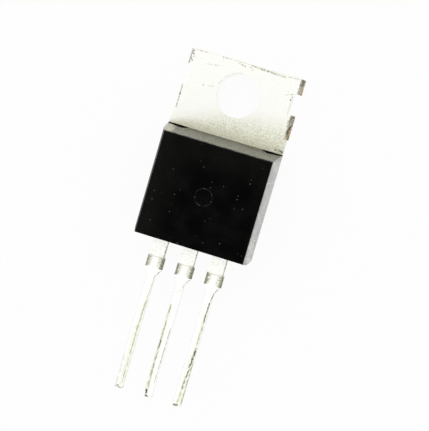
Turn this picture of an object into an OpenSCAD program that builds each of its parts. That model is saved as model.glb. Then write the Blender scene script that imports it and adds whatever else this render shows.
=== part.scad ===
// Three-lead voltage regulator in a flat moulded package with a bolt-down metal tab.
// Origin: centre of the mounting hole on the back face. +Y runs to the tab's top edge,
// +X to the right with the marked face up, +Z out of the marked face. Millimetres.

/* [Tab] */
// Width of the metal tab across its sheared sides
tab_w = 9.9; // [9.6:0.05:10.2]
// Thickness of the tab
tab_t = 1.3; // [1.2:0.05:1.4]
// Tab showing between its top edge and the moulded body
tab_reach = 6.4; // [6.2:0.05:6.8]
// Diameter of the mounting hole
hole_d = 3.6; // [3.4:0.05:3.8]
// Tab's top edge to the centre of the mounting hole
hole_drop = 2.8; // [2.6:0.05:3]
// Height of the two ears above the side notches
ear_h = 1.28; // [1.1:0.02:1.4]
// Height of each side notch
notch_h = 1.78; // [1.5:0.02:1.9]
// Depth of each side notch
notch_depth = 0.6; // [0.45:0.05:0.75]
// Radius in the inner corners of the side notches
notch_r = 0.3; // [0.1:0.05:0.5]
// Height of the sheared stretch below each notch
shear_h = 2.05; // [1.8:0.05:2.2]
// How far a sheared side leans inwards from back to front
shear_lean = 0.34; // [0.1:0.02:0.4]
// Step in on each side from the sheared width to the neck
neck_step = 0.07; // [0.02:0.01:0.15]
// Tab's top edge to the end of the bare metal on the back
pad_reach = 12.4; // [11.9:0.1:12.8]
// Sheared side of the tab to the bare metal on the back of the body
pad_inset = 0.75; // [0.65:0.05:1.15]
// Flange that locks the pad's edges into the moulding
pad_flange = 0.35; // [0.2:0.05:0.4]
// Height of the flange's underside above the back face
flange_z = 0.55; // [0.4:0.05:0.7]

/* [Moulded body] */
// How far the body's parting line stands out beyond each sheared side of the tab
body_over = 0.05; // [0:0.01:0.2]
// Length of the body along the leads
body_len = 9.4; // [9:0.05:9.6]
// Overall thickness from back face to marked face
body_t = 4.5; // [4.3:0.05:4.7]
// Draft of each side wall from parting line to marked face
side_draft = 0.43; // [0.3:0.01:0.5]
// Slope of the wall over the tab, from the tab's front to the marked face
top_slope = 0.68; // [0.4:0.02:0.8]
// Draft of the wall over the leads, from parting line to marked face
lead_draft = 0.18; // [0.1:0.01:0.3]
// Draft of the lower half of the walls, in degrees
back_angle = 3; // [1:0.5:4]
// Radius of the upright corners next to the leads
corner_r = 0.55; // [0.4:0.05:0.7]
// How much is cropped off the corners over the tab at their foot and at the marked face
corner_crop = 0.03; // [0.02:0.01:0.06]
// Length of each slot at the foot of the wall over the tab, from the tab's side
slot_len = 1.9; // [1.5:0.05:2.2]
// Greatest width of each slot
slot_w = 0.17; // [0.12:0.01:0.22]
// Inner end of a slot to its widest place
slot_peak = 0.6; // [0.4:0.05:0.9]
// Width of each slot where it runs out at the tab's side
slot_end = 0.08; // [0.04:0.01:0.1]
// Diameter of the round mark left by the ejector pin
ejector_d = 1.4; // [1.2:0.1:1.8]
// Depth of the ejector mark
ejector_depth = 0.06; // [0.03:0.01:0.1]

/* [Leads] */
// Spacing of the leads
pitch = 2.54; // [2.5:0.01:2.6]
// Thickness of the leads
lead_t = 0.5; // [0.4:0.05:0.6]
// Underside of the leads above the back face, also the parting line
lead_z = 2.4; // [2.2:0.05:2.6]
// Length of the leads out of the body
lead_len = 12.85; // [11:0.05:14]
// Width of a lead next to the body
root_w = 1.27; // [1.15:0.01:1.4]
// Width across the stubs where the dam bar was cut
dam_w = 1.52; // [1.42:0.01:1.62]
// Body to the upper edge of the dam bar stubs
dam_gap = 1.45; // [1.3:0.05:1.7]
// Height of the dam bar stubs
dam_h = 0.95; // [0.7:0.05:1]
// How far a stub's cut end leans inwards from back to front
dam_lean = 0.28; // [0.1:0.02:0.34]
// Length of the shoulder from a stub down to the lower part of a lead
shoulder_len = 0.65; // [0.4:0.05:0.8]
// Depth by which the front of a lead is coined down from the stubs to the tip
coin_depth = 0.03; // [0.01:0.01:0.06]
// Width of the lower part of a lead
lead_w = 0.72; // [0.65:0.01:0.9]
// Length of the pinched cut at a lead's tip
tip_len = 0.2; // [0.05:0.05:0.4]
// Width left at the very tip
tip_w = 0.62; // [0.4:0.01:0.65]

/* [Bonding posts and neck] */
// Width of a bonding post
post_w = 2.1; // [1.9:0.05:2.3]
// Length of a bonding post
post_len = 1.1; // [1:0.05:1.3]
// Body's lower end to the lower edge of a bonding post
post_gap = 0.9; // [0.7:0.05:1.1]
// Moulding between a bonding post and the body's side at the parting line
post_cover = 1.05; // [0.9:0.05:1.15]
// Width of the neck between the pad and the centre lead
neck_w = 1.5; // [1.3:0.05:1.7]
// Run of the cranked stretch of that neck, along Y
crank_run = 1.1; // [0.9:0.05:1.2]

/* [Chip and wires] */
// Width of the silicon chip
die_w = 2.6; // [2.4:0.1:3]
// Length of the silicon chip
die_len = 2.3; // [2:0.1:2.8]
// Thickness of the silicon chip
die_t = 0.36; // [0.25:0.01:0.45]
// Lower end of the bare metal on the back to the lower edge of the chip
die_rise = 1.4; // [0.8:0.1:1.7]
// Thickness of the solder under the chip
solder_t = 0.05; // [0.03:0.01:0.08]
// Solder showing round the chip
solder_rim = 0.15; // [0.05:0.05:0.3]
// Diameter of the adjust wire
adjust_wire_d = 0.13; // [0.1:0.01:0.16]
// Diameter of the output wires
output_wire_d = 0.25; // [0.2:0.01:0.3]
// Spacing of the two output wires
wire_gap = 0.6; // [0.5:0.05:0.7]
// Chip's lower edge to the wires' feet
foot_drop = 0.5; // [0.4:0.05:0.7]
// Chip's middle to the foot of the nearer output wire
foot_x = 0.35; // [0.2:0.05:0.5]
// How far a wire bows above the straight line between its feet
loop_h = 0.9; // [0.7:0.05:1]

/* [Hidden] */
$fn = 64;
// Length of cuts that run clear of the part
far = 50;

// Places along Y, from the tab's top edge down to the lead tips
tab_top = hole_drop;
notch_top = tab_top - ear_h;
notch_bottom = notch_top - notch_h;
shear_bottom = notch_bottom - shear_h;
body_top = tab_top - tab_reach;
body_bottom = body_top - body_len;
pad_bottom = tab_top - pad_reach;
flange_bottom = pad_bottom - pad_flange;
post_bottom = body_bottom + post_gap;
post_top = post_bottom + post_len;
post_y = (post_bottom + post_top) / 2;
dam_top = body_bottom - dam_gap;
dam_bottom = dam_top - dam_h;
waist_top = dam_bottom - shoulder_len;
lead_tip = body_bottom - lead_len;
face_top = body_top - top_slope;
face_bottom = body_bottom + lead_draft;
die_y = pad_bottom + die_rise + die_len / 2;
foot_y = die_y - die_len / 2 + foot_drop;

// Half widths along X
tab_x = tab_w / 2;
notch_x = tab_x - notch_depth;
neck_x = tab_x - neck_step;
pad_x = tab_x - pad_inset;
flange_x = pad_x + pad_flange;
body_x = tab_x + body_over;
post_x = body_x - post_cover - post_w / 2;

// Body's half width where its side passes the tab's front
foot_side_x = body_x - (lead_z - tab_t) * tan(back_angle);

// Heights along Z
lead_top = lead_z + lead_t;
strip_z = tab_t - lead_t;
die_z = tab_t + solder_t;
die_top = die_z + die_t;

// A profile drawn in Y and Z, drawn out along X over the width w
module along_x(w) {
    rotate([90, 0, 90]) translate([0, 0, -w / 2]) linear_extrude(w) children();
}

// A profile drawn in X and Z, drawn out along Y from y1 up to y2
module along_y(y1, y2) {
    translate([0, y2, 0]) rotate([90, 0, 0]) linear_extrude(y2 - y1) children();
}

// A rectangle centred on the Y axis between two places along Y
module band(half_w, y1, y2) {
    translate([-half_w, y1]) square([2 * half_w, y2 - y1]);
}

// One side notch of the tab, open outwards, with round inner corners
module notch() {
    translate([notch_x + notch_r, notch_bottom]) square([far, notch_h]);
    translate([notch_x, notch_bottom + notch_r]) square([far, notch_h - 2 * notch_r]);
    for (y = [notch_bottom + notch_r, notch_top - notch_r])
        translate([notch_x + notch_r, y]) circle(notch_r);
}

// Outline of the thick plate as far as the moulded body
module tab_outline() {
    difference() {
        band(tab_x, shear_bottom, tab_top);
        notch();
        mirror([1, 0]) notch();
    }
    band(neck_x, body_top, shear_bottom);
}

// What the leaning shear takes off one side of the tab
module shear_wedge(y1, y2) {
    along_y(y1, y2)
        polygon([[tab_x, 0], [tab_x - shear_lean, tab_t], [far, tab_t], [far, 0]]);
}

// Plate under the moulding: bare pad on the back, locking flange above it
module pad() {
    linear_extrude(flange_z) band(pad_x, pad_bottom, body_top);
    translate([0, 0, flange_z])
        linear_extrude(tab_t - flange_z) band(flange_x, flange_bottom, body_top);
}

// Outline of a lead about its own centre line, from a place inside the body down to its tip
module lead_outline(start) {
    right = [
        [root_w / 2, start], [root_w / 2, dam_top], [dam_w / 2, dam_top], [dam_w / 2, dam_bottom],
        [lead_w / 2, waist_top], [lead_w / 2, lead_tip + tip_len], [tip_w / 2, lead_tip]
    ];
    left = [for (i = [len(right) - 1:-1:0]) [-right[i][0], right[i][1]]];
    polygon(concat(right, left));
}

// What trimming takes off a lead about its own centre line: the leaning ends of the stubs,
// and the thin layer that is coined off the front from the stubs down
module lead_trim() {
    for (side = [0, 1]) mirror([side, 0, 0])
        along_y(dam_bottom, dam_top) polygon([
            [dam_w / 2, lead_z], [dam_w / 2 - dam_lean, lead_top], [far, lead_top], [far, lead_z]
        ]);
    translate([-dam_w, lead_tip - tip_len, lead_top - coin_depth])
        cube([2 * dam_w, dam_top - lead_tip + tip_len, lead_t]);
}

// Side view of the thin strip: off the plate's front, up the crank and out as the centre lead.
// bend is what a corner of the upper side leads the corner under it, so the strip stays even.
module crank_side() {
    bend = lead_t * tan(atan2(lead_z - strip_z, crank_run) / 2);
    foot = flange_bottom - bend;
    knee = foot - crank_run;
    polygon([
        [flange_bottom, strip_z], [foot, strip_z], [knee, lead_z], [lead_tip, lead_z],
        [lead_tip, lead_top], [knee + bend, lead_top], [foot + bend, tab_t]
    ]);
}

// Tab, die pad, cranked neck and centre lead, stamped from one strip of two thicknesses
module heat_sink_tab() {
    color("#dcdccf") {
        difference() {
            union() {
                linear_extrude(tab_t) tab_outline();
                pad();
            }
            for (side = [0, 1]) mirror([side, 0, 0]) {
                shear_wedge(notch_top, tab_top);
                shear_wedge(shear_bottom, notch_bottom);
            }
            translate([0, 0, -tab_t]) cylinder(d = hole_d, h = 3 * tab_t);
        }
        difference() {
            intersection() {
                along_x(dam_w + neck_w) crank_side();
                linear_extrude(body_t) {
                    band(neck_w / 2, post_bottom, flange_bottom);
                    lead_outline(post_y);
                }
            }
            lead_trim();
        }
    }
}

// A side lead with its bonding post, drawn for the right-hand side
module side_lead() {
    difference() {
        union() {
            translate([pitch, 0, lead_z]) linear_extrude(lead_t) lead_outline(post_y);
            translate([post_x, 0, lead_z]) linear_extrude(lead_t) band(post_w / 2, post_bottom, post_top);
        }
        translate([pitch, 0, 0]) lead_trim();
    }
}

// Left lead: adjust
module adjust_lead() {
    color("#d6d6cb") mirror([1, 0, 0]) side_lead();
}

// Right lead: output
module output_lead() {
    color("#d6d6cb") side_lead();
}

// The silicon chip, on its solder
module regulator_die() {
    color("#5a6472") translate([-die_w / 2, die_y - die_len / 2, die_z]) cube([die_w, die_len, die_t]);
}

// Solder between the chip and the tab
module die_solder() {
    w = die_w + 2 * solder_rim;
    len = die_len + 2 * solder_rim;
    color("#a9acad") translate([-w / 2, die_y - len / 2, tab_t]) cube([w, len, solder_t]);
}

// Flattened foot of a wire of diameter d, lying along X from its middle
module wire_foot(d) {
    linear_extrude(0.8 * d) {
        square([2 * d, 1.6 * d], center = true);
        for (x = [-d, d]) translate([x, 0]) circle(0.8 * d);
    }
}

// A wire from the chip at start to a post at end, both [x, y]: an arc that bows up by loop_h
module bond_wire(start, end, d) {
    run = norm(end - start);
    climb = lead_top - die_top;
    chord = norm([run, climb]);
    radius = (chord * chord / 4 + loop_h * loop_h) / (2 * loop_h);
    half_angle = asin(chord / 2 / radius);
    tilt = atan2(climb, run);
    color("#c9ccce")
        translate([start[0], start[1], die_top]) rotate([0, 0, atan2(end[1] - start[1], end[0] - start[0])]) {
            wire_foot(d);
            translate([run, 0, climb]) wire_foot(d);
            translate([run / 2, 0, climb / 2 + d / 2]) rotate([90, -tilt, 0])
                translate([0, loop_h - radius, 0]) rotate([0, 0, 90 - half_angle])
                    rotate_extrude(angle = 2 * half_angle) translate([radius, 0]) circle(d / 2);
        }
}

module adjust_bond_wire() {
    bond_wire([-foot_x - wire_gap / 2, foot_y], [-post_x, post_y], adjust_wire_d);
}

module output_bond_wire_1() {
    bond_wire([foot_x, foot_y], [post_x - wire_gap / 2, post_y], output_wire_d);
}

module output_bond_wire_2() {
    bond_wire([foot_x + wire_gap, foot_y], [post_x + wire_gap / 2, post_y], output_wire_d);
}

// Plan of the body at its parting line, with round corners next to the leads
module body_plan() {
    band(body_x - corner_r, body_bottom, body_top);
    band(body_x, body_bottom + corner_r, body_top);
    for (x = [-1, 1])
        translate([x * (body_x - corner_r), body_bottom + corner_r]) circle(corner_r);
}

// What is cropped off the corner over the tab. The profile is drawn across the corner, outwards
// and in Z, and leans from the corner's foot on the tab's front to its end at the marked face.
module corner_cut() {
    foot = (foot_side_x + body_top) / sqrt(2) - corner_crop;
    face = (body_x - side_draft + face_top) / sqrt(2) - corner_crop;
    rotate([0, 0, 45]) along_y(-far, far)
        polygon([[foot, tab_t], [face, body_t], [far, body_t], [far, tab_t]]);
}

// The drafted block: plan, side view and end view, each drawn out and kept where all three meet
module body_block() {
    back_in = lead_z * tan(back_angle);
    intersection() {
        linear_extrude(body_t) body_plan();
        along_x(far) polygon([
            [body_bottom + back_in, 0], [body_bottom, lead_z], [face_bottom, body_t],
            [face_top, body_t], [body_top, tab_t], [body_top, 0]
        ]);
        along_y(-far, far) polygon([
            [body_x - back_in, 0], [body_x, lead_z], [body_x - side_draft, body_t],
            [side_draft - body_x, body_t], [-body_x, lead_z], [back_in - body_x, 0]
        ]);
    }
}

// Slots where the moulding stands back from the tab, one near each side. Each opens from its
// inner end to its widest place and narrows again on its way out at the side.
module wall_slots() {
    inner = tab_x - slot_len;
    for (side = [0, 1]) mirror([side, 0, 0])
        translate([0, body_top, tab_t]) linear_extrude(body_t) polygon([
            [inner, 0], [inner + slot_peak, -slot_w], [tab_x, -slot_end],
            [far, -slot_end], [far, slot_w], [inner, slot_w]
        ]);
}

// Epoxy cast round the tab, the leads, the chip and the wires
module moulded_body() {
    color("#1b1b1c") difference() {
        body_block();
        for (side = [0, 1]) mirror([side, 0, 0]) corner_cut();
        wall_slots();
        translate([0, (face_top + face_bottom) / 2, body_t - ejector_depth])
            cylinder(d = ejector_d, h = body_t);
        heat_sink_tab();
        adjust_lead();
        output_lead();
        regulator_die();
        die_solder();
        adjust_bond_wire();
        output_bond_wire_1();
        output_bond_wire_2();
    }
}

moulded_body();
heat_sink_tab();
adjust_lead();
output_lead();
regulator_die();
die_solder();
adjust_bond_wire();
output_bond_wire_1();
output_bond_wire_2();
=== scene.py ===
import math

import bmesh
import bpy
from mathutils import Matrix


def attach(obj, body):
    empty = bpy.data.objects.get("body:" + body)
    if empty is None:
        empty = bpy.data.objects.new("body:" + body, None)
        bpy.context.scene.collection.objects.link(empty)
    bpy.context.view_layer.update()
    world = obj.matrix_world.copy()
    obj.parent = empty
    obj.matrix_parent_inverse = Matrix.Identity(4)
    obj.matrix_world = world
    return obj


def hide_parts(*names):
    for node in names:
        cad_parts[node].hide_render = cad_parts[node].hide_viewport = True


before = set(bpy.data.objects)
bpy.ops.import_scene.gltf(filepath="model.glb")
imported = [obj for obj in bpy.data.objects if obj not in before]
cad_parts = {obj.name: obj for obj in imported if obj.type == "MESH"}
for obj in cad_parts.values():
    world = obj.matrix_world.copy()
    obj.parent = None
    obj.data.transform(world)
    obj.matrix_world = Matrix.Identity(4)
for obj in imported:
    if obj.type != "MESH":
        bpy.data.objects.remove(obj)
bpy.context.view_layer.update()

mm = 0.001  # every size below is in millimetres
print("frame loaded:", sorted(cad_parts))


def hexColour(code):
    # sRGB hex to the linear values that a colour socket takes
    channels = [int(code[i:i + 2], 16) / 255 for i in (1, 3, 5)]
    return [c / 12.92 if c < 0.0405 else ((c + 0.055) / 1.055) ** 2.4 for c in channels] + [1]


def addNode(tree, kind, sockets=None, **settings):
    # one node with its settings; a socket takes a value or another node's output
    node = tree.nodes.new(kind)
    for name, value in settings.items():
        setattr(node, name, value)
    for name, value in (sockets or {}).items():
        if isinstance(value, bpy.types.NodeSocket):
            tree.links.new(value, node.inputs[name])
        else:
            node.inputs[name].default_value = value
    return node


# How a finish is painted: grain, zones and strokes give shares from 0 to 1, and colours are laid on by them
def grains(tree, place, size, detail=2.0, stretch=(1, 1, 1)):
    # soft random grain about size mm across, drawn out by stretch
    scale = [1 / (s * size * mm) for s in stretch]
    spread = addNode(tree, "ShaderNodeMapping", {"Vector": place, "Scale": scale})
    sockets = {"Vector": spread.outputs[0], "Scale": 1, "Detail": detail}
    return addNode(tree, "ShaderNodeTexNoise", sockets).outputs[0]


def fade(tree, value, low, high, bottom=0.0, top=1.0):
    # bottom below low, top above high, smooth between
    sockets = {"Value": value, "From Min": low, "From Max": high, "To Min": bottom, "To Max": top}
    return addNode(tree, "ShaderNodeMapRange", sockets, interpolation_type="SMOOTHSTEP").outputs[0]


def zone(tree, value, low, high, bottom=0.0, top=1.0):
    # the same between two places in mm
    return fade(tree, value, low * mm, high * mm, bottom, top)


def hill(tree, value, centre, half, soft):
    # 1 within half of centre, falling to 0 over soft, all in mm
    away = addNode(tree, "ShaderNodeMath", {0: value, 1: centre * mm}, operation="SUBTRACT")
    size = addNode(tree, "ShaderNodeMath", {0: away.outputs[0]}, operation="ABSOLUTE")
    return zone(tree, size.outputs[0], half, half + soft, 1.0, 0.0)


def stroke(tree, flat, ends, half, soft):
    # 1 within half of the line between two places, falling to 0 over soft, all in mm
    start = [ends[0] * mm, ends[1] * mm, 0]
    run = [(ends[2] - ends[0]) * mm, (ends[3] - ends[1]) * mm, 0]
    step = [v / (run[0] ** 2 + run[1] ** 2) for v in run]
    away = addNode(tree, "ShaderNodeVectorMath", {0: flat, 1: start}, operation="SUBTRACT").outputs[0]
    dot = addNode(tree, "ShaderNodeVectorMath", {0: away, 1: step}, operation="DOT_PRODUCT").outputs["Value"]
    share = addNode(tree, "ShaderNodeClamp", {"Value": dot}).outputs[0]
    nearest = addNode(tree, "ShaderNodeVectorMath", {0: run, "Scale": share}, operation="SCALE").outputs[0]
    gap = addNode(tree, "ShaderNodeVectorMath", {0: away, 1: nearest}, operation="DISTANCE").outputs["Value"]
    return zone(tree, gap, half, half + soft, 1.0, 0.0)


def overlap(tree, *shares):
    # where all the shares meet: their product
    share = shares[0]
    for other in shares[1:]:
        share = addNode(tree, "ShaderNodeMath", {0: share, 1: other}, operation="MULTIPLY").outputs[0]
    return share


def layer(tree, under, over, *shares):
    # one colour laid on another where the shares meet; a colour is a hex code or a socket
    sockets = {0: overlap(tree, *shares), 6: under, 7: over}
    sockets = {k: hexColour(v) if isinstance(v, str) else v for k, v in sockets.items()}
    return addNode(tree, "ShaderNodeMix", sockets, data_type="RGBA").outputs[2]


def drawMarks(tree, colour, flat, marks, *shares):
    # a mark is a line between two places, then its half width, soft edge, strength and tone
    for a1, b1, a2, b2, half, soft, strength, tone in marks:
        line = stroke(tree, flat, (a1, b1, a2, b2), half, soft)
        colour = layer(tree, colour, tone, line, *shares, strength)
    return colour


def startMaterial(name):
    material = bpy.data.materials.new(name)
    material.use_nodes = True
    tree = material.node_tree
    tree.nodes.clear()
    place = addNode(tree, "ShaderNodeTexCoord").outputs["Object"]
    apart = addNode(tree, "ShaderNodeSeparateXYZ", {0: place})
    return material, tree, place, apart.outputs


def endMaterial(tree, colour, grain, roughness, bumpDepth, fixed):
    # the grain lifts the surface by bumpDepth mm and moves the roughness between its two values;
    # fixed holds the shader's other sockets
    sockets = {"Base Color": colour, "Roughness": fade(tree, grain, 0.2, 0.8, *roughness)}
    bump = addNode(tree, "ShaderNodeBump", {"Height": grain, "Distance": bumpDepth * mm, "Strength": 1})
    sockets["Normal"] = bump.outputs[0]
    shader = addNode(tree, "ShaderNodeBsdfPrincipled", {**sockets, **fixed})
    addNode(tree, "ShaderNodeOutputMaterial", {"Surface": shader.outputs[0]})


# Camera
camera = {"place": (11.088, -1.433, 99.743), "turn": (-3.052, 7.035, 16.522), "lens": 100.23, "clipStart": 5}


def makeCamera(s):
    turn = [math.radians(v) for v in s["turn"]]
    bpy.ops.object.camera_add(location=[v * mm for v in s["place"]], rotation=turn)
    view = bpy.context.object
    view.data.lens = s["lens"]
    view.data.clip_start = s["clipStart"] * mm
    view.data.clip_end = 10  # metres
    bpy.context.scene.camera = view


makeCamera(camera)
bpy.context.scene.view_settings.view_transform = "Standard"
print("camera placed")


# Light tent: pale floor, a sky that is bright overhead and low down and dimmer between, one soft lamp
studio = {
    "overhead": 1.12,
    "overheadBand": (0.72, 0.93),
    "between": 0.8,
    "horizon": 0.9,
    "horizonBand": (0.05, 0.4),
    "lampPlace": (-130, 90, 170),
    "lampSize": 120,
    "lampPower": 0.03,
    "floorSize": 1500,
    "floorDrop": 0.01,
    "floorColour": "#f4f4f4",
    "floorWeave": "#f1f1f1",
    "floorGrain": 0.4,
    "floorGlow": 0.93,
}


def makeSky(s):
    world = bpy.data.worlds.new("lightTent")
    bpy.context.scene.world = world
    world.use_nodes = True
    tree = world.node_tree
    tree.nodes.clear()
    sky = addNode(tree, "ShaderNodeTexCoord").outputs["Generated"]
    height = addNode(tree, "ShaderNodeSeparateXYZ", {0: sky}).outputs[2]
    upper = fade(tree, height, *s["overheadBand"], s["between"], s["overhead"])
    lower = fade(tree, height, *s["horizonBand"], s["horizon"], s["between"])
    level = addNode(tree, "ShaderNodeMath", {0: upper, 1: lower}, operation="MAXIMUM").outputs[0]
    glow = addNode(tree, "ShaderNodeBackground", {"Color": (1, 1, 1, 1), "Strength": level})
    addNode(tree, "ShaderNodeOutputWorld", {"Surface": glow.outputs[0]})


def makeLamp(s):
    bpy.ops.object.light_add(type="AREA", location=[v * mm for v in s["lampPlace"]])
    lamp = bpy.context.object
    lamp.data.size = s["lampSize"] * mm
    lamp.data.energy = s["lampPower"]
    lamp.rotation_euler = lamp.location.to_track_quat("Z", "Y").to_euler()


def makeFloor(s):
    # Matte white cloth of a light tent: an even white ground that still takes the object's shadow
    bpy.ops.object.select_all(action="DESELECT")
    bpy.ops.mesh.primitive_plane_add(size=s["floorSize"] * mm, location=(0, 0, -s["floorDrop"] * mm))
    floor = bpy.context.object
    floor.name = "floor"
    material, tree, place = startMaterial("matte white light tent cloth")[:3]
    seen = 0.0
    path = addNode(tree, "ShaderNodeLightPath").outputs
    for ray in ("Is Camera Ray", "Is Glossy Ray", "Is Transmission Ray"):
        seen = addNode(tree, "ShaderNodeMath", {0: seen, 1: path[ray]}, operation="MAXIMUM").outputs[0]
    weave = layer(tree, s["floorColour"], s["floorWeave"], grains(tree, place, s["floorGrain"]))
    cloth = addNode(tree, "ShaderNodeBsdfDiffuse", {"Color": weave})
    shine = addNode(tree, "ShaderNodeEmission", {"Color": (1, 1, 1, 1), "Strength": 1.0})
    sockets = {0: overlap(tree, seen, s["floorGlow"]), 1: cloth.outputs[0], 2: shine.outputs[0]}
    surface = addNode(tree, "ShaderNodeMixShader", sockets)
    addNode(tree, "ShaderNodeOutputMaterial", {"Surface": surface.outputs[0]})
    floor.data.materials.append(material)


makeSky(studio)
makeLamp(studio)
makeFloor(studio)
print("studio lit")


# How a piece is made from its solid: a merged copy, its flat faces whole, its edges worked, then finished
def copyOf(nodeName, pieceName):
    bpy.ops.object.select_all(action="DESELECT")
    piece = bpy.data.objects.new(pieceName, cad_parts[nodeName].data.copy())
    bpy.context.collection.objects.link(piece)
    piece.data.materials.clear()
    piece.select_set(True)
    bpy.context.view_layer.objects.active = piece
    bpy.ops.mesh.customdata_custom_splitnormals_clear()
    bpy.ops.object.mode_set(mode="EDIT")
    bpy.ops.mesh.select_all(action="SELECT")
    bpy.ops.mesh.remove_doubles(threshold=0.0005 * mm)
    bpy.ops.mesh.dissolve_limited(angle_limit=math.radians(0.8))
    bpy.ops.object.mode_set(mode="OBJECT")
    return piece


def pick(piece, kind, test):
    # in edit mode: selects the edges or faces that pass the test, and nothing else
    bpy.ops.mesh.select_mode(type="EDGE" if kind == "edges" else "FACE")
    bpy.ops.mesh.select_all(action="DESELECT")
    shape = bmesh.from_edit_mesh(piece.data)
    count = 0
    for part in getattr(shape, kind):
        if test(part):
            part.select_set(True)
            count += 1
    bmesh.update_edit_mesh(piece.data)
    return count


def middle(part):
    return sum((v.co for v in part.verts), part.verts[0].co * 0) / len(part.verts) / mm


def isSharp(edge, degrees):
    return len(edge.link_faces) == 2 and edge.calc_face_angle() > math.radians(degrees)


def roundEdges(piece, test, width, steps, slot=-1):
    count = pick(piece, "edges", test)
    if count:
        bpy.ops.mesh.bevel(
            offset=width * mm, segments=steps, profile=0.5, affect="EDGES", clamp_overlap=True, material=slot)
    return count


def giveSlot(piece, slot, test):
    count = pick(piece, "faces", test)
    piece.active_material_index = slot
    if count:
        bpy.ops.object.material_slot_assign()
    return count


def finishPiece(piece, nodeName):
    bpy.ops.object.mode_set(mode="OBJECT")
    bpy.ops.object.shade_smooth_by_angle(angle=math.radians(35))
    weighted = piece.modifiers.new("flat faces stay flat", "WEIGHTED_NORMAL")
    weighted.keep_sharp = True
    bpy.ops.object.modifier_apply(modifier=weighted.name)
    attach(piece, "root")
    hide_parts(nodeName)
    print(piece.name, "finished:", len(piece.data.polygons), "faces,", len(piece.data.materials), "materials")


# Moulded body
body = {
    "halfWidth": 5.0,
    "halfWidthFront": 4.57,
    "halfWidthBack": 4.874,
    "top": -3.6,
    "bottom": -13.0,
    "partingLine": 2.4,
    "front": 4.5,
    "tabFront": 1.3,
    "edgeRadius": 0.07,
    "looks": {
        "walls": {
            "colour": "#1c1c18",
            "cloud": "#3c3c34",
            "grain": 0.1,
            "pale": {"colour": "#5c5c51", "from": 2.2, "to": 4.2, "grain": 0.16},
            "scuffsAndSheen": {
                "colour": "#bdbaa0",
                "plane": (0, 1),
                "lowest": 1.4,
                "least": 0.8,
                # a painted reflection on the slope's left end
                "lines": [(-4.85, -3.75, -4.45, -4.15, 0.17, 0.45, 1.0)],
            },
            "speck": {"colour": "#c9c8b8", "apart": 0.4, "from": 0.72, "laid": "3D"},
            "uneven": {
                "grain": 0.13,
                "least": 0.6,
                "foot": {"from": 1.7, "to": 2.5, "least": 0.66},
                "chipped": {"from": 4.04, "to": 4.49, "ragged": 0.08, "colour": "#040404"},
            },
            "roughness": (0.45, 0.57),
            "bump": 0.035,
            "fixed": {
                "IOR": 1.55,
                "Specular IOR Level": 1.0,
                "Sheen Weight": 0.7,
                "Sheen Roughness": 0.4,
                "Sheen Tint": (1, 0.98, 0.78, 1),
            },
        },
        "marked face": {
            "colour": "#020202",
            "cloud": "#111110",
            "grain": 0.09,
            "haze": {"colour": "#191917", "left": (-4.6, -1.5), "top": (-7.5, -4.3)},
            "speck": {"colour": "#807e72", "apart": 0.33, "from": 0.945, "laid": "2D"},
            "rim": {"centre": (0.0, -8.55), "radius": 0.7, "half": 0.02, "soft": 0.03, "colour": "#464645"},
            "roughness": (0.35, 0.47),
            "bump": 0.004,
            "fixed": {"IOR": 1.5, "Specular IOR Level": 0.02},
        },
        "scuffed edge": {
            "colour": "#2a2a29",
            "cloud": "#5a5a56",
            "grain": 0.12,
            "speck": {"colour": "#8d8a78", "apart": 0.4, "from": 0.72, "laid": "3D"},
            "roughness": (0.45, 0.57),
            "bump": 0.004,
            "fixed": {"IOR": 1.5, "Specular IOR Level": 0.3},
        },
        # painted sheen: a paler, lit copy of the wall's epoxy for the right side, with its scuffs
        "rubbed side": {
            "colour": "#605f57",
            "cloud": "#8c8a80",
            "grain": 0.22,
            "scuffsAndSheen": {
                "colour": "#cfcfc6",
                "plane": (1, 2),
                "lowest": 2.3,
                "least": 0.2,
                "lines": [
                    (-4.3, 4.2, -4.85, 2.9, 0.03, 0.4, 0.6),
                    (-6.08, 4.45, -5.82, 2.5, 0.02, 0.05, 1.0),
                    (-6.3, 4.4, -6.9, 3.6, 0.02, 0.3, 0.25),
                    (-8.5, 4.4, -9.3, 3.0, 0.02, 0.25, 0.5),
                    (-7.7, 3.2, -8.4, 3.5, 0.02, 0.25, 0.35),
                    (-9.9, 4.2, -10.3, 3.4, 0.02, 0.2, 0.6),
                    (-10.54, 3.7, -10.47, 2.5, 0.015, 0.04, 0.8),
                    (-10.78, 3.4, -10.82, 2.9, 0.03, 0.09, 1.0),
                    (-10.9, 3.9, -11.7, 2.9, 0.08, 0.45, 0.9),
                    (-11.3, 4.3, -11.6, 3.7, 0.06, 0.22, 1.0),
                    (-12.3, 4.35, -12.36, 3.8, 0.03, 0.1, 1.0),
                    (-12.1, 3.8, -12.7, 2.8, 0.08, 0.45, 0.9),
                ],
            },
            "speck": {"colour": "#e0dfd2", "apart": 0.4, "from": 0.72, "laid": "3D"},
            "uneven": {
                "grain": 0.18,
                "least": 0.84,
                "chipped": {"from": 4.2, "to": 4.65, "ragged": 0.05, "colour": "#040404"},
            },
            "roughness": (0.45, 0.57),
            "bump": 0.035,
            "fixed": {
                "IOR": 1.55,
                "Specular IOR Level": 1.0,
                "Sheen Weight": 1.0,
                "Sheen Roughness": 0.4,
                "Coat Weight": 1.0,
                "Coat Roughness": 0.45,
            },
        },
        # painted shade: a darker copy of the wall's epoxy for the left side, with little gloss and no sheen
        "left side": {
            "colour": "#1b1b1a",
            "cloud": "#30302d",
            "grain": 0.1,
            "speck": {"colour": "#8d8a78", "apart": 0.4, "from": 0.72, "laid": "3D"},
            "roughness": (0.55, 0.67),
            "bump": 0.006,
            "fixed": {"IOR": 1.45, "Specular IOR Level": 0.3},
        },
    },
}


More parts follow.
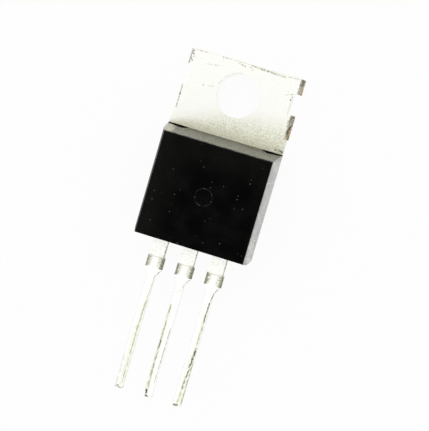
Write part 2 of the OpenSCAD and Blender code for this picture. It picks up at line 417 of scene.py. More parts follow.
def epoxyMaterial(name, look):
    # Epoxy filled with crushed silica, transfer moulded in spark-eroded steel: dead black with a
    # fine matte grain, and here and there a filler grain that shows as a pale speck. The real grain
    # is about 0.03 mm and is drawn at 0.09 mm and more, so that it shows.
    material, tree, place, apart = startMaterial(name)
    fine = grains(tree, place, look["grain"], 3)
    cloudy = fade(tree, grains(tree, place, 1.6, 3), 0.35, 0.7)
    colour = layer(tree, look["colour"], look["cloud"], cloudy, fade(tree, fine, 0.3, 0.7))
    if "haze" in look:
        # the face is a little paler towards its left and its top
        haze = look["haze"]
        left = zone(tree, apart[0], *haze["left"], 0.8, 0.0)
        top = zone(tree, apart[1], *haze["top"], 0.0, 0.5)
        paleLeftTop = addNode(tree, "ShaderNodeMath", {0: left, 1: top}, operation="MAXIMUM").outputs[0]
        colour = layer(tree, colour, haze["colour"], paleLeftTop, fade(tree, fine, 0.2, 0.7))
    if "pale" in look:
        # painted shade: darker towards a wall's foot, paler towards the marked face; a coarse mottle
        pale = look["pale"]
        mottle = fade(tree, grains(tree, place, pale["grain"], 3), 0.34, 0.62, 0.2, 1.0)
        colour = layer(tree, colour, pale["colour"], zone(tree, apart[2], pale["from"], pale["to"]), mottle)
    if "scuffsAndSheen" in look:
        # laid on the wall by the two directions that it runs in
        scuffsAndSheen = look["scuffsAndSheen"]
        across, along = scuffsAndSheen["plane"]
        flat = addNode(tree, "ShaderNodeCombineXYZ", {0: apart[across], 1: apart[along], 2: 0.0}).outputs[0]
        above = zone(tree, apart[2], scuffsAndSheen["lowest"], scuffsAndSheen["lowest"] + 0.5)
        patchy = fade(tree, grains(tree, place, 0.3, 3), 0.36, 0.6, scuffsAndSheen["least"], 1.0)
        marks = [line + (scuffsAndSheen["colour"],) for line in scuffsAndSheen["lines"]]
        colour = drawMarks(tree, colour, flat, marks, overlap(tree, patchy, above))
    # filler grains 0.04 to 0.1 mm across that broke the skin, in some of the cells
    speck = look["speck"]
    spread = {"Vector": place, "Scale": 1 / (speck["apart"] * mm)}
    cells = addNode(tree, "ShaderNodeTexVoronoi", spread, voronoi_dimensions=speck["laid"]).outputs
    chosen = addNode(tree, "ShaderNodeSeparateXYZ", {0: cells["Color"]}).outputs[0]
    dot = fade(tree, cells["Distance"], 0.05, 0.12, 1.0, 0.0)
    colour = layer(tree, colour, speck["colour"], dot, fade(tree, chosen, speck["from"], 1.0))
    if "rim" in look:
        # a painted highlight along the edge of the ejector pin's recess, a broken hairline
        rim = look["rim"]
        flat = addNode(tree, "ShaderNodeCombineXYZ", {0: apart[0], 1: apart[1], 2: 0.0}).outputs[0]
        ends = {0: flat, 1: [rim["centre"][0] * mm, rim["centre"][1] * mm, 0]}
        away = addNode(tree, "ShaderNodeVectorMath", ends, operation="DISTANCE").outputs["Value"]
        broken = fade(tree, grains(tree, place, 0.2), 0.43, 0.6, 0.1, 1.0)
        ring = hill(tree, away, rim["radius"], rim["half"], rim["soft"])
        colour = layer(tree, colour, rim["colour"], ring, broken)
    fixed = dict(look["fixed"])
    if "uneven" in look:
        # the grain scatters unevenly, drawn along z by the mould that let go of it, and not at all where
        # the front edge is chipped; less at the foot, as painted shade
        uneven, chipped = look["uneven"], look["uneven"]["chipped"]
        ragged = chipped["ragged"] * mm
        torn = fade(tree, grains(tree, place, 0.3, 4), 0.3, 0.7, -ragged, ragged)
        height = addNode(tree, "ShaderNodeMath", {0: apart[2], 1: torn}, operation="ADD").outputs[0]
        whole = zone(tree, height, chipped["from"], chipped["to"], 1.0, 0.0)
        drawn = grains(tree, place, uneven["grain"], 3, (1, 1, 3))
        kept = overlap(tree, fade(tree, drawn, 0.36, 0.62, uneven["least"], 1.0), whole)
        if "foot" in uneven:
            foot = uneven["foot"]
            kept = overlap(tree, kept, zone(tree, height, foot["from"], foot["to"], foot["least"], 1.0))
        for socket in ("Sheen Weight", "Specular IOR Level", "Coat Weight"):
            if socket in fixed:
                fixed[socket] = overlap(tree, kept, fixed[socket])
        colour = layer(tree, chipped["colour"], colour, whole)
    endMaterial(tree, colour, fine, look["roughness"], look["bump"], fixed)
    return material


def makeBody(s):
    piece = copyOf("moulded_body", "mouldedBody")
    slots = {}
    for name, look in s["looks"].items():
        slots[name] = len(piece.data.materials)
        piece.data.materials.append(epoxyMaterial("black epoxy moulding, " + name, look))

    def onShell(face):
        # on the outside of the moulding, as against its seats round the tab and the leads
        c, n = middle(face), face.normal
        if c.z > s["front"] - 0.01 or c.z < 0.01:
            return True
        if c.z > s["partingLine"]:
            share = (c.z - s["partingLine"]) / (s["front"] - s["partingLine"])
            half = s["halfWidth"] + share * (s["halfWidthFront"] - s["halfWidth"])
        else:
            half = s["halfWidthBack"] + c.z / s["partingLine"] * (s["halfWidth"] - s["halfWidthBack"])
        out = abs(c.x) > half - 0.25 and n.x * c.x > 0
        ends = (c.y > s["top"] - 0.8 and n.y > 0.5) or (c.y < s["bottom"] + 0.4 and n.y < -0.5)
        return out or ends

    def isCropped(face):
        # the leaning faces that crop the two corners over the tab
        return abs(face.normal.x) > 0.4 and face.normal.y > 0.4 and middle(face).y > s["top"] - 0.7

    def isOuterEdge(edge):
        if not isSharp(edge, 40) or not all(onShell(f) for f in edge.link_faces):
            return False
        c = middle(edge)
        nearRing = math.dist((c.x, c.y), s["looks"]["marked face"]["rim"]["centre"]) < 1
        low = c.z < 0.01 and (c.y > s["top"] - 0.05 or abs(c.x) < 4.6 and c.y > s["bottom"] + 0.3)
        slot = c.y > s["top"] - 0.3 and c.z < 2.2
        return not (nearRing or low or slot or any(isCropped(f) for f in edge.link_faces))

    def isTinyEnd(edge):
        c = middle(edge)
        byCorner = abs(c.x) > 4.4 and c.y > s["top"] - 0.8 and c.z > s["tabFront"] - 0.01
        return byCorner and edge.calc_length() < 0.06 * mm

    def isMarkedFace(face):
        return face.normal.z > 0.9 and middle(face).z > s["front"] - 0.2

    def isSlot(face):
        # the wedge slots at the foot of the wall over the tab
        c = middle(face)
        return s["top"] - 0.25 < c.y < s["top"] - 0.005 and face.normal.z < 0.05 and 1.25 < c.z < 3.2

    def isSide(face, side):
        return face.normal.x * side > 0.7 and middle(face).x * side > 4.5

    bpy.ops.object.mode_set(mode="EDIT")
    if pick(piece, "edges", isTinyEnd):
        bpy.ops.mesh.merge(type="COLLAPSE")
    marked = giveSlot(piece, slots["marked face"], isMarkedFace)
    wedges = giveSlot(piece, slots["marked face"], isSlot)
    worked = roundEdges(piece, isOuterEdge, s["edgeRadius"], 2, slots["scuffed edge"])
    # the right side and the cropped corners take the paler copy, as painted sheen
    rubbed = giveSlot(piece, slots["rubbed side"], lambda f: isCropped(f) or isSide(f, 1))
    giveSlot(piece, slots["left side"], lambda f: isSide(f, -1))
    print("body faces: marked", marked, "wedge slots", wedges, "rubbed", rubbed, "and edges rounded", worked)
    finishPiece(piece, "moulded_body")


makeBody(body)


# Metal that was cut, shared by the leads and the tab
def shearedMaterial(name, s):
    # Where the strip was sheared after plating: bare copper at the back rim, a torn dark band of
    # oxide in the middle, and tin smeared over from the front, all ragged and drawn along the cut.
    material, tree, place, apart = startMaterial(name)
    drawn = (1, 1, 2.5)
    low, deep = s["low"], s["deep"]
    torn = grains(tree, place, s["grain"], 4, drawn)
    ripple = fade(tree, torn, 0.25, 0.75, -s["ragged"] * mm, s["ragged"] * mm)
    height = addNode(tree, "ShaderNodeMath", {0: apart[2], 1: ripple}, operation="ADD").outputs[0]
    rimTop = low + s["rimTo"] * deep
    colour = layer(tree, s["rim"], s["core"], zone(tree, height, rimTop, rimTop + 0.15 * deep))
    if "copper" in s:
        # towards the leads, from copperFrom on, flecks of bare copper show through rim and core
        lower = zone(tree, apart[1], s["copperFrom"] - 0.8, s["copperFrom"], 0.85, 0.0)
        flecks = fade(tree, grains(tree, place, 0.16, 2, (1, 1, 2)), 0.42, 0.58)
        colour = layer(tree, colour, s["copper"], lower, flecks)
    colour = layer(tree, colour, s["smear"], zone(tree, height, low + s["smearFrom"] * deep, low + deep))
    spots = fade(tree, grains(tree, place, s["spotGrain"], 2, drawn), 0.54, 0.64, 0.0, s["spotShare"])
    colour = layer(tree, colour, s["spot"], spots)
    pale = fade(tree, grains(tree, place, s["paleGrain"], 2, drawn), 0.48, 0.6, 0.0, s["paleShare"])
    colour = layer(tree, colour, s["pale"], pale)
    # smudges are laid on the cut face by their places along it and up it
    face = addNode(tree, "ShaderNodeCombineXYZ", {0: apart[1], 1: apart[2], 2: 0.0}).outputs[0]
    patchy = fade(tree, torn, 0.3, 0.6, 0.5, 1.0)
    colour = drawMarks(tree, colour, face, s.get("smudges", []), patchy)
    endMaterial(tree, colour, torn, (0.5, 0.75), 0.02, {"Metallic": 0.6})
    return material


def burnishedMaterial(name, pale, dark, smooth=0.4, metal=0.8):
    # Tinned copper that the die or the punch burnished: smooth and bright, grimy in broken stretches
    material, tree, place = startMaterial(name)[:3]
    fine = grains(tree, place, 0.1, 2)
    broken = fade(tree, grains(tree, place, 0.4, 4), 0.44, 0.6)
    colour = layer(tree, pale, dark, broken)
    endMaterial(tree, colour, fine, (smooth, smooth + 0.2), 0.004, {"Metallic": metal})
    return material


# Leads, with the streaks that each one shows down its front
tint, olive, darkStreak, brown = "#eceedb", "#b0b18c", "#63634c", "#7c6450"
leads = {
    "frontRadius": 0.12,
    "backRadius": 0.03,
    "bodyEnd": -13.0,
    "bandTop": -14.45,
    "bandBottom": -15.4,
    "tip": -25.85,
    "back": 2.4,
    "tin": "#fdfdf9",
    "stubEnd": {"out": 0.48, "softLeft": 0.3, "softRight": 0.36, "colour": "#8d8d70"},
    "step": "#c2c29e",
    "flash": {"out": 0.62, "colour": "#77775c"},
    "blotch": {"centre": -13.6, "half": 0.3, "soft": 0.6, "colour": "#d8d8bc"},
    "adjust": {
        "x": -2.54,
        "marks": [
            (-2.3, -17.9, -2.4, -20.6, 0.08, 0.1, 1.0, tint),
            (-2.4, -20.6, -2.36, -25.5, 0.14, 0.14, 1.0, tint),
            (-1.86, -15.5, -2.2, -16.0, 0.01, 0.04, 0.8, darkStreak),
            (-2.2, -16.0, -2.3, -17.8, 0.01, 0.05, 0.7, olive),
            (-2.31, -17.9, -2.4, -21.0, 0.03, 0.06, 0.8, olive),
            (-2.38, -21.0, -2.36, -25.3, 0.02, 0.06, 0.7, olive),
            (-2.78, -23.0, -2.78, -25.7, 0.01, 0.04, 0.7, olive),
            (-2.82, -25.8, -2.6, -25.7, 0.05, 0.1, 0.9, brown),
            (-2.5, -25.8, -2.3, -25.8, 0.02, 0.06, 0.7, brown),
        ],
    },
    "centre": {
        "x": 0.0,
        "marks": [
            (-0.24, -18.2, -0.22, -25.2, 0.08, 0.1, 1.0, tint),
            (0.62, -15.5, 0.36, -15.9, 0.01, 0.04, 0.8, darkStreak),
            (0.36, -15.9, 0.14, -16.6, 0.01, 0.04, 0.8, olive),
            (0.14, -16.6, -0.2, -16.8, 0.01, 0.04, 0.6, olive),
            (-0.25, -17.9, -0.23, -22.0, 0.03, 0.06, 1.0, olive),
            (-0.23, -21.0, -0.22, -23.4, 0.03, 0.05, 0.8, darkStreak),
            (-0.22, -23.6, -0.16, -25.2, 0.05, 0.07, 0.9, olive),
            (0.27, -19.8, 0.24, -24.6, 0.01, 0.04, 0.8, darkStreak),
            (-0.2, -25.3, -0.14, -25.75, 0.07, 0.04, 1.0, "#3c3a2c"),
            (-0.14, -25.5, -0.08, -25.78, 0.04, 0.04, 1.0, "#2c2a20"),
            (-0.2, -25.8, 0.05, -25.8, 0.02, 0.05, 0.9, brown),
        ],
    },
    "output": {
        "x": 2.54,
        "marks": [
            (2.74, -17.8, 2.74, -21.4, 0.08, 0.12, 1.0, tint),
            (2.72, -21.4, 2.68, -25.6, 0.2, 0.14, 1.0, tint),
            (3.12, -15.5, 2.88, -15.98, 0.01, 0.04, 0.9, darkStreak),
            (2.88, -15.98, 2.76, -16.9, 0.02, 0.05, 0.8, darkStreak),
            (2.76, -16.9, 2.75, -18.4, 0.03, 0.06, 1.0, darkStreak),
            (2.75, -18.4, 2.76, -21.2, 0.03, 0.07, 0.9, olive),
            (2.76, -21.0, 2.68, -22.4, 0.05, 0.07, 1.0, darkStreak),
            (2.7, -22.3, 2.58, -24.4, 0.03, 0.07, 0.8, darkStreak),
            (2.6, -24.2, 2.52, -25.5, 0.02, 0.05, 0.9, olive),
            (2.84, -22.0, 2.86, -25.5, 0.02, 0.07, 0.9, olive),
            (2.3, -25.78, 2.6, -25.72, 0.04, 0.1, 0.9, brown),
        ],
    },
    "stubCut": {
        "low": 2.4,
        "deep": 0.47,
        "grain": 0.14,
        "ragged": 0.1,
        "rimTo": 0.0,
        "smearFrom": 0.3,
        "paleShare": 0.5,
        "paleGrain": 0.11,
        "spotShare": 1.0,
        "spotGrain": 0.15,
        "rim": "#9c9c84",
        "core": "#94947c",
        "smear": "#d2d2bc",
        "spot": "#6a6a56",
        "pale": "#dcdcc6",
    },
    "tipCut": {
        "low": 2.4,
        "deep": 0.47,
        "grain": 0.14,
        "ragged": 0.1,
        "rimTo": 0.2,
        "smearFrom": 0.7,
        "copperFrom": -20.0,
        "paleShare": 0.5,
        "paleGrain": 0.11,
        "spotShare": 1.0,
        "spotGrain": 0.15,
        "rim": "#8a6a48",
        "core": "#7a5f48",
        "copper": "#7a5f48",
        "smear": "#a8a08a",
        "spot": "#3b3026",
        "pale": "#c9bfa8",
    },
}


def leadMaterial(name, s, own):
    # Copper lead with bright tin. The grey-olive streaks and dark bits down the front are painted
    # reflection: the middle of the rounded front mirrors something dark above it.
    material, tree, place, apart = startMaterial(name)
    flat = addNode(tree, "ShaderNodeCombineXYZ", {0: apart[0], 1: apart[1], 2: 0.0}).outputs[0]
    fine = grains(tree, place, 0.08, 3, (1, 4, 1))
    front = zone(tree, apart[2], s["back"] + 0.2, s["back"] + 0.4)
    colour = layer(tree, s["tin"], tint, fade(tree, fine, 0.45, 0.8), 0.1)
    broken = fade(tree, grains(tree, place, 0.17, 4, (0.85, 2.1, 1)), 0.38, 0.58, 0.18, 1.0)
    colour = drawMarks(tree, colour, flat, own["marks"], overlap(tree, broken, front))
    # painted shade on the stubs' rolled-over ends, darkest by the coined step, and along the step itself
    speckle = fade(tree, grains(tree, place, 0.12, 3), 0.35, 0.62)
    stub = s["stubEnd"]
    for x, soft in ((own["x"] - stub["out"], stub["softLeft"]), (own["x"] + stub["out"], stub["softRight"])):
        end = stroke(tree, flat, (x, s["bandTop"] - 0.1, x, s["bandBottom"] + 0.25), 0.02, soft)
        colour = layer(tree, colour, stub["colour"], end, speckle, front, 0.8)
    step = hill(tree, apart[1], s["bandTop"], 0.01, 0.05)
    colour = layer(tree, colour, s["step"], step, fade(tree, fine, 0.3, 0.6, 0.3, 0.8), front)
    # the moulding's thin flash along the root's right side
    x = own["x"] + s["flash"]["out"]
    flash = stroke(tree, flat, (x, s["bodyEnd"], x, s["bandTop"]), 0.02, 0.06)
    colour = layer(tree, colour, s["flash"]["colour"], flash, speckle, 0.9)
    blotch = s["blotch"]
    patches = fade(tree, grains(tree, place, 0.22, 3), 0.5, 0.7, 0.0, 0.4)
    root = hill(tree, apart[1], blotch["centre"], blotch["half"], blotch["soft"])
    colour = layer(tree, colour, blotch["colour"], root, patches, front)
    endMaterial(tree, colour, fine, (0.3, 0.45), 0.002, {"Metallic": 0.9})
    return material


def isStubEnd(face):
    return 0.3 < face.normal.z < 0.7 and abs(face.normal.x) > 0.7 and middle(face).z > 2.3


def isTip(face):
    return middle(face).y < leads["tip"] + 0.19 and abs(face.normal.z) < 0.5


def isStripSide(face):
    # the stamped sides of the root and the shoulder
    c, n = middle(face), face.normal
    upright = abs(n.z) < 0.1 and abs(n.x) > 0.3
    return upright and c.z > leads["back"] - 0.1 and leads["bandBottom"] - 0.7 < c.y < leads["bodyEnd"]


def isFrontSide(edge):
    # the two long front edges of a lead's lower part
    c = middle(edge)
    low = leads["tip"] + 0.1 < c.y < leads["bandBottom"]
    return isSharp(edge, 60) and low and c.z > leads["back"] + 0.4 and edge.calc_length() > 0.3 * mm


def isBackEdge(edge):
    c = middle(edge)
    return isSharp(edge, 60) and c.y < leads["bodyEnd"] - 0.2 and abs(c.z - leads["back"]) < 0.01


cutMaterials = [
    shearedMaterial("copper sheared at the dam bar", leads["stubCut"]),
    shearedMaterial("copper cut at the lead tip", leads["tipCut"]),
    burnishedMaterial("stamped side of the tinned lead", "#b5b596", "#55553f"),
]


def makeSideLead(nodeName, pieceName, own, s):
    piece = copyOf(nodeName, pieceName)
    for material in [leadMaterial("bright tin on copper, " + own, s, s[own])] + cutMaterials:
        piece.data.materials.append(material)
    bpy.ops.object.mode_set(mode="EDIT")
    for slot, test in ((1, isStubEnd), (2, isTip), (3, isStripSide)):
        giveSlot(piece, slot, test)
    roundEdges(piece, isFrontSide, s["frontRadius"], 3, 0)
    roundEdges(piece, isBackEdge, s["backRadius"], 1)
    finishPiece(piece, nodeName)


makeSideLead("adjust_lead", "adjustLead", "adjust", leads)
makeSideLead("output_lead", "outputLead", "output", leads)


# Heat sink tab with its centre lead
tab = {
    "front": 1.3,
    "top": 2.8,
    "bodyTop": -3.6,
    "rollRadius": 0.07,
    "holeRadius": 1.8,
    "tin": {
        "bright": "#fdfdf8",
        "shadedTin": "#f2f2e0",
        "wallShade": "#d9d8c2",
        "dark": "#b3b298",
        "glint": "#f6f5e6",
        "grain": 0.085,
        "pit": "#6d6c58",
        "pitsApart": 1.1,
        "slotShadow": "#0c0c0a",
        "shadeFall": {"turn": -0.5, "left": 0.45, "right": 0.1, "from": 0.4, "to": 3.6, "offFront": 0.4},
        "wall": {"from": 1.2, "to": 1.95, "far": -2.4, "near": -3.7},
        "holeRimShade": {"radius": 1.88, "half": 0.01, "soft": 0.05, "colour": "#e2e2da"},
        "lines": [
            (-4.5, 2.77, 4.55, 2.77, 0.01, 0.04, 0.35, "#e3e2c6"),
            (0.4, 2.73, 1.3, 2.67, 0.01, 0.1, 0.25, "#a9a786"),
            (1.3, 2.67, 3.3, 2.58, 0.01, 0.11, 0.35, "#a9a786"),
            (4.33, 0.8, 4.33, -0.3, 0.01, 0.05, 0.45, "#c9c5a2"),
            # painted shadow along the wall's foot where the slots are
            (-4.92, -3.6, -3.3, -3.61, 0.015, 0.03, 1.0, "#0c0c0a"),
            (3.3, -3.61, 4.86, -3.6, 0.015, 0.03, 1.0, "#0c0c0a"),
        ],
        "marks": [
            (-4.6, 2.65, -4.58, 1.8, 0.14, 0.08, 0.85, "#c3bab6"),
            (-4.62, 2.68, -4.58, 2.4, 0.1, 0.06, 0.8, "#a39d9f"),
            (-4.62, 2.0, -4.6, 1.85, 0.06, 0.08, 0.7, "#a9a3a0"),
            (-4.3, 2.77, -3.5, 2.75, 0.03, 0.04, 0.9, "#a5a37c"),
            (-2.1, 2.76, -1.7, 2.76, 0.02, 0.04, 1.0, "#9a9880"),
            (-1.6, 2.76, 0.4, 2.74, 0.01, 0.04, 0.5, "#b9b8a4"),
            (0.4, 2.74, 1.3, 2.66, 0.02, 0.07, 0.7, "#a3a17e"),
            (1.3, 2.66, 2.6, 2.61, 0.03, 0.09, 0.8, "#8d8b68"),
            (2.6, 2.61, 3.4, 2.57, 0.02, 0.06, 0.6, "#a9a786"),
            (3.6, 2.67, 4.5, 2.72, 0.01, 0.05, 0.8, "#9b996f"),
            (0.2, 2.56, 0.7, 2.5, 0.03, 0.06, 0.5, "#b9b79a"),
            (-4.4, 2.12, -3.75, 2.18, 0.02, 0.05, 0.5, "#b9b79a"),
            (-3.14, 1.86, -1.85, 2.02, 0.02, 0.05, 0.55, "#b9b79a"),
            (-2.05, 2.75, -1.99, 2.45, 0.03, 0.05, 0.5, "#c3c092"),
            (-0.66, 2.66, -0.1, 2.5, 0.03, 0.07, 0.8, "#a5a37e"),
            (0.46, 2.72, 0.56, 2.35, 0.03, 0.07, 0.6, "#c3c092"),
            (-3.05, 0.12, -3.02, 0.1, 0.03, 0.04, 1.0, "#8c8a7c"),
            (-2.6, 0.15, -2.2, 0.22, 0.03, 0.06, 0.45, "#c3c0a0"),
            (3.75, 1.22, 4.3, 1.4, 0.02, 0.05, 0.55, "#9b9a80"),
            (3.85, 1.62, 3.9, 1.4, 0.02, 0.05, 0.4, "#b9b79a"),
            (4.34, 1.2, 4.24, 0.86, 0.02, 0.04, 1.0, "#7b7a5e"),
            (4.57, -0.6, 4.58, -1.3, 0.02, 0.08, 0.6, "#9b997f"),
            (4.2, -3.3, 4.85, -3.36, 0.05, 0.08, 0.9, "#4e4c3a"),
        ],
    },
    "rightCut": {
        "low": 0.0,
        "deep": 1.3,
        "grain": 0.2,
        "ragged": 0.35,
        "rimTo": 0.04,
        "smearFrom": 0.45,
        "copperFrom": -0.9,
        "paleShare": 0.85,
        "paleGrain": 0.19,
        "spotShare": 0.85,
        "spotGrain": 0.22,
        "rim": "#cbb08a",
        "core": "#77745f",
        "copper": "#94603a",
        "smear": "#dcdbc4",
        "spot": "#3c3b2e",
        "pale": "#cfcdb6",
        "smudges": [
            (2.75, 0.95, 2.6, 0.6, 0.08, 0.12, 0.9, "#6e6d55"),
            (2.65, 0.25, 2.5, 0.3, 0.06, 0.1, 0.9, "#8f8a56"),
            (2.5, 0.05, 2.1, 0.08, 0.05, 0.1, 0.9, "#d9c29c"),
            (2.45, 0.7, 2.2, 0.7, 0.15, 0.2, 0.9, "#7b7873"),
            (1.95, 0.85, 1.6, 0.8, 0.2, 0.2, 0.75, "#cbc7b8"),
            (1.95, 0.2, 1.55, 0.2, 0.1, 0.12, 0.9, "#c2a67c"),
            (-0.55, 0.2, -0.6, 0.4, 0.06, 0.1, 0.7, "#c9c4b0"),
            (-0.8, 0.3, -0.95, 0.5, 0.1, 0.12, 0.6, "#c9c4b0"),
            (-2.1, 0.5, -2.3, 0.9, 0.08, 0.15, 0.7, "#d9d2c0"),
            (-0.35, 0.9, -0.75, 1.0, 0.1, 0.12, 0.9, "#66664f"),
            (-0.35, 0.2, -0.9, 0.15, 0.06, 0.1, 0.9, "#8a7468"),
            (-0.85, 0.6, -1.0, 0.7, 0.15, 0.15, 0.6, "#a5a28e"),
            (-1.2, 0.5, -1.4, 0.75, 0.07, 0.1, 1.0, "#2e2a1c"),
            (-1.45, 0.25, -1.7, 0.25, 0.12, 0.12, 0.8, "#c4a27c"),
            (-1.55, 0.95, -1.95, 0.7, 0.06, 0.1, 1.0, "#4a4230"),
            (-1.9, 0.3, -2.15, 0.35, 0.1, 0.12, 0.7, "#8c6544"),
        ],
    },
    "leftCut": {
        "low": 0.0,
        "deep": 1.3,
        "grain": 0.2,
        "ragged": 0.3,
        "rimTo": 0.2,
        "smearFrom": 0.5,
        "copperFrom": 9.0,
        "paleShare": 0.9,
        "paleGrain": 0.11,
        "spotShare": 1.0,
        "spotGrain": 0.15,
        "rim": "#e6e3da",
        "core": "#f4f3ea",
        "copper": "#f4f3ea",
        "smear": "#fafaf2",
        "spot": "#8f8b80",
        "pale": "#f8f8f0",
        "smudges": [
            (2.3, 0.9, 1.7, 0.7, 0.3, 0.4, 0.9, "#a9a49a"),
            (-0.5, 0.2, -0.6, 1.1, 0.12, 0.1, 0.5, "#9d9a8c"),
            (-0.8, 0.2, -0.85, 1.1, 0.05, 0.05, 0.5, "#9d9a8c"),
            (-1.07, 0.2, -1.1, 1.1, 0.1, 0.06, 0.9, "#6f6c5e"),
            (-1.38, 0.2, -1.4, 1.1, 0.03, 0.06, 0.8, "#858274"),
            (-1.61, 0.2, -1.63, 1.1, 0.03, 0.06, 0.8, "#858274"),
            (-2.0, 0.2, -2.03, 1.1, 0.05, 0.06, 0.8, "#8f8c78"),
        ],
    },
}


def tinPlateMaterial(name, s, frontHeight, bodyTop):
    # Copper strip with matte electroplated tin: near white with a faint yellow-green, a sandy grain
    # of fine crystals, painted shade that darkens it towards the moulding, and rubbed marks along its
    # edges. The real crystals are about 0.02 mm across and are drawn at 0.09 mm, so that they show.
    material, tree, place, apart = startMaterial(name)
    flat = addNode(tree, "ShaderNodeCombineXYZ", {0: apart[0], 1: apart[1], 2: 0.0}).outputs[0]
    fine = grains(tree, place, s["grain"], 3)
    front = zone(tree, apart[2], frontHeight - 0.1, frontHeight - 0.03)
    # painted shade: the tin darkens towards the moulding, the edge nearly level on the right and
    # falling away on the left; the grain shows stronger there and painted glints lie in it
    shadeFall, wall = s["shadeFall"], s["wall"]
    fromTurn = {0: apart[0], 1: shadeFall["turn"] * mm}
    across = addNode(tree, "ShaderNodeMath", fromTurn, operation="SUBTRACT").outputs[0]
    sides = {0: overlap(tree, across, shadeFall["right"]), 1: overlap(tree, across, shadeFall["left"])}
    shift = addNode(tree, "ShaderNodeMath", sides, operation="MINIMUM").outputs[0]
    reach = addNode(tree, "ShaderNodeMath", {0: shift, 1: apart[1]}, operation="SUBTRACT").outputs[0]
    offFront = fade(tree, front, 0.0, 1.0, shadeFall["offFront"], 1.0)
    shadedShare = overlap(tree, zone(tree, reach, shadeFall["from"], shadeFall["to"]), offFront)
    colour = layer(tree, s["bright"], s["shadedTin"], shadedShare)
    # a deeper painted shade nearest the moulding's wall, which keeps light off the tin there
    near = zone(tree, apart[1], wall["near"], wall["far"], 1.0, 0.0)
    colour = layer(tree, colour, s["wallShade"], near, zone(tree, reach, wall["from"], wall["to"]), front)
    sandy = fade(tree, shadedShare, 0.0, 1.0, 0.05, 0.58)
    colour = layer(tree, colour, s["dark"], fade(tree, fine, 0.36, 0.66), sandy)
    glints = fade(tree, grains(tree, place, 0.09, 1), 0.64, 0.74)
    colour = layer(tree, colour, s["glint"], glints, shadedShare, 0.8)
    spread = {"Vector": place, "Scale": 1 / (s["pitsApart"] * mm)}
    pits = addNode(tree, "ShaderNodeTexVoronoi", spread).outputs["Distance"]
    colour = layer(tree, colour, s["pit"], fade(tree, pits, 0.02, 0.06, 0.7, 0.0), shadedShare)
    # a painted shade hairline round the upper left of the hole, where the punch drew the front in
    hole = s["holeRimShade"]
    away = addNode(tree, "ShaderNodeVectorMath", {0: flat}, operation="LENGTH").outputs["Value"]
    arc = overlap(
        tree,
        hill(tree, away, hole["radius"], hole["half"], hole["soft"]),
        zone(tree, apart[1], 0.2, 0.7),
        front,
        zone(tree, apart[0], -0.4, 0.2, 1.0, 0.0),
        fade(tree, grains(tree, place, 0.3, 2), 0.4, 0.56, 0.15, 1.0),
    )
    colour = layer(tree, colour, hole["colour"], arc)
    colour = drawMarks(tree, colour, flat, s["lines"], front)
    broken = fade(tree, grains(tree, place, 0.16, 3), 0.42, 0.58)
    colour = drawMarks(tree, colour, flat, s["marks"], overlap(tree, broken, front))
    # painted shadow on the tin in the slots at the foot of the moulding's wall
    underSlot = zone(tree, apart[1], bodyTop - 0.01, bodyTop + 0.02, 1.0, 0.0)
    onTop = zone(tree, apart[2], frontHeight - 0.05, frontHeight - 0.02)
    colour = layer(tree, colour, s["slotShadow"], underSlot, onTop)
    endMaterial(tree, colour, fine, (0.42, 0.6), 0.006, {"Metallic": 0.9})
    return material


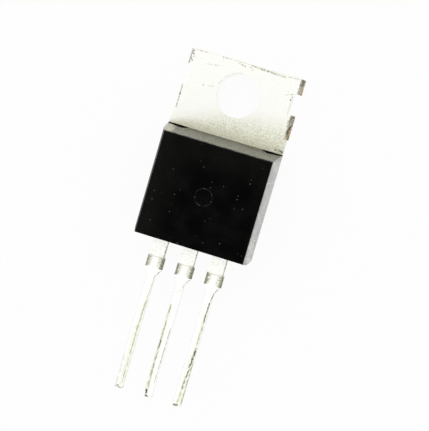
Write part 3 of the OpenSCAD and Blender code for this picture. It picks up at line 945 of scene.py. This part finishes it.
def makeTab(s, lead):
    piece = copyOf("heat_sink_tab", "heatSinkTab")
    materials = [
        tinPlateMaterial("matte tin on rolled copper", s["tin"], s["front"], s["bodyTop"]),
        leadMaterial("bright tin on copper, centre", lead, lead["centre"]),
        shearedMaterial("copper sheared at the tab's right side", s["rightCut"]),
        shearedMaterial("copper sheared at the tab's left side", s["leftCut"]),
        *cutMaterials,
        burnishedMaterial("rolled edge of the tinned tab", "#f0f0de", "#b0af90"),
        burnishedMaterial("punched wall of the hole", "#ffffff", "#fafaf4", 0.2, 1.0),
    ]
    for material in materials:
        piece.data.materials.append(material)

    def isFrontRim(edge):
        return isSharp(edge, 50) and s["front"] - 0.01 < middle(edge).z < s["front"] + 0.2

    def isTopRim(edge):
        return isFrontRim(edge) and middle(edge).y > s["top"] - 0.02

    def isOtherRim(edge):
        return isFrontRim(edge) and s["bodyTop"] + 0.05 < middle(edge).y < s["top"] - 0.1

    def isCentreLead(face):
        outside = min(v.co.y for v in face.verts) < (lead["bodyEnd"] - 0.2) * mm
        return outside and middle(face).z > lead["back"] - 0.1

    def isCutSide(face, side):
        return face.normal.x * side > 0.9 and face.normal.z > 0.2 and middle(face).z < s["front"] + 0.1

    def isHoleWall(face):
        c = middle(face)
        return math.hypot(c.x, c.y) < s["holeRadius"] + 0.01 and abs(face.normal.z) < 0.1

    bpy.ops.object.mode_set(mode="EDIT")
    giveSlot(piece, 1, isCentreLead)
    giveSlot(piece, 2, lambda f: isCutSide(f, 1))
    giveSlot(piece, 3, lambda f: isCutSide(f, -1))
    for slot, test in ((4, isStubEnd), (5, isTip), (6, isStripSide), (8, isHoleWall)):
        giveSlot(piece, slot, test)
    others = roundEdges(piece, isOtherRim, s["rollRadius"] / 2, 2, 0)
    tops = roundEdges(piece, isTopRim, s["rollRadius"], 2, 7)
    print("tab rim edges rounded:", others, "and", tops)
    roundEdges(piece, isFrontSide, lead["frontRadius"], 3, 1)
    roundEdges(piece, isBackEdge, lead["backRadius"], 1)
    finishPiece(piece, "heat_sink_tab")


makeTab(tab, leads)


# Inside the moulding: the chip, its solder and the wires keep their solids
wire = {"colour": "#c6c8ca", "other": "#d4d6d8", "roughness": (0.3, 0.4), "fixed": {"Metallic": 1.0}}
inside = {
    "regulator_die": {
        "name": "polished silicon chip",
        "colour": "#4b5563",
        "other": "#5d6877",
        "roughness": (0.25, 0.35),
        "fixed": {"Metallic": 0.3, "IOR": 3.4},
    },
    "die_solder": {
        "name": "reflowed lead-free solder",
        "colour": "#8d8f90",
        "other": "#a7a9aa",
        "roughness": (0.45, 0.55),
        "fixed": {"Metallic": 1.0},
    },
    "adjust_bond_wire": {"name": "drawn aluminium wire, adjust", **wire},
    "output_bond_wire_1": {"name": "drawn aluminium wire, output 1", **wire},
    "output_bond_wire_2": {"name": "drawn aluminium wire, output 2", **wire},
}


def innerMaterial(look):
    # Silicon, solder and aluminium wire, sealed in since they were made: clean, even, a faint grain
    material, tree, place = startMaterial(look["name"])[:3]
    fine = grains(tree, place, 0.12, 2)
    colour = layer(tree, look["colour"], look["other"], fade(tree, fine, 0.3, 0.7))
    endMaterial(tree, colour, fine, look["roughness"], 0.001, look["fixed"])
    return material


for nodeName, look in inside.items():
    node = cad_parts[nodeName]
    node.data.materials.clear()
    node.data.materials.append(innerMaterial(look))
print("inner pieces finished")
